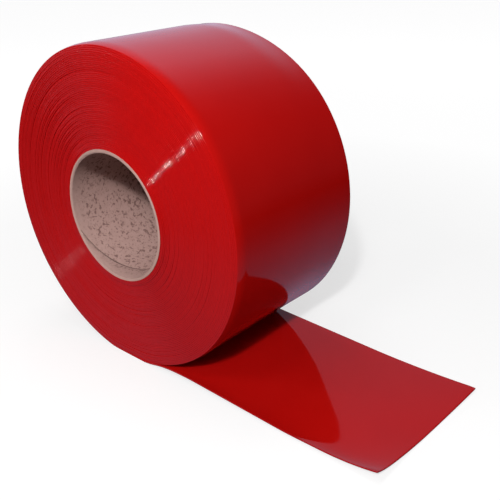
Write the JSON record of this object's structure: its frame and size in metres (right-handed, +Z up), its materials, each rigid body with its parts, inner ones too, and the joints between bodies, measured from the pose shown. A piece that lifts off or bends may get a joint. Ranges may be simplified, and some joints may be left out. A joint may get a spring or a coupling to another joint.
{
  "type": "roll of pvc curtain strip",
  "caption": "Roll of flexible red PVC curtain strip wound on a cardboard tube, lying on its rim with its free end out on the floor.",
  "frame": {"origin": "on the floor under the roll's axis, halfway along the strip's width", "axes": "+X along the floor to the strip's free end, +Y along the roll's axis away from the end face that the picture shows, +Z up"},
  "size_m": [0.5664, 0.206, 0.3828],
  "materials": {
    "red_pvc": "smooth glossy flexible PVC, deep red",
    "tube_board": "cut edge of grey-brown wound cardboard",
    "liner_paper": "matt pinkish-brown paper with dark speckles"
  },
  "bodies": {
    "roll": {"wound_strip": "red_pvc", "core_body": "tube_board", "core_liner": "liner_paper"},
    "length_1": {"tail_1": "red_pvc"},
    "length_2": {"tail_2": "red_pvc"},
    "length_3": {"tail_3": "red_pvc"},
    "length_4": {"tail_4": "red_pvc"},
    "length_5": {"tail_5": "red_pvc"},
    "length_6": {"tail_6": "red_pvc"},
    "length_7": {"tail_7": "red_pvc"},
    "length_8": {"tail_8": "red_pvc"}
  },
  "joints": [
    {"name": "bend_1", "type": "hinge", "parent": "roll", "child": "length_1", "pos_m": [0.0466, 0, 0.00543], "axis": [0, -1, 0], "range_deg": [0, 4], "stiffness_Nm_per_rad": 0.065},
    {"name": "bend_2", "type": "hinge", "parent": "length_1", "child": "length_2", "pos_m": [0.08732, 0, 0.00907], "axis": [0, -1, 0], "range_deg": [0, 12], "stiffness_Nm_per_rad": 0.065},
    {"name": "bend_3", "type": "hinge", "parent": "length_2", "child": "length_3", "pos_m": [0.12777, 0, 0.00744], "axis": [0, -1, 0], "range_deg": [0, 12], "stiffness_Nm_per_rad": 0.065},
    {"name": "bend_4", "type": "hinge", "parent": "length_3", "child": "length_4", "pos_m": [0.16821, 0, 0.00582], "axis": [0, -1, 0], "range_deg": [0, 12], "stiffness_Nm_per_rad": 0.065},
    {"name": "bend_5", "type": "hinge", "parent": "length_4", "child": "length_5", "pos_m": [0.20866, 0, 0.00419], "axis": [0, -1, 0], "range_deg": [0, 12], "stiffness_Nm_per_rad": 0.065},
    {"name": "bend_6", "type": "hinge", "parent": "length_5", "child": "length_6", "pos_m": [0.24909, 0, 0.00261], "axis": [0, -1, 0], "range_deg": [0, 12], "stiffness_Nm_per_rad": 0.065},
    {"name": "bend_7", "type": "hinge", "parent": "length_6", "child": "length_7", "pos_m": [0.28949, 0, 0.002], "axis": [0, -1, 0], "range_deg": [0, 12], "stiffness_Nm_per_rad": 0.065},
    {"name": "bend_8", "type": "hinge", "parent": "length_7", "child": "length_8", "pos_m": [0.32987, 0, 0.00301], "axis": [0, -1, 0], "range_deg": [0, 12], "stiffness_Nm_per_rad": 0.065}
  ]
}
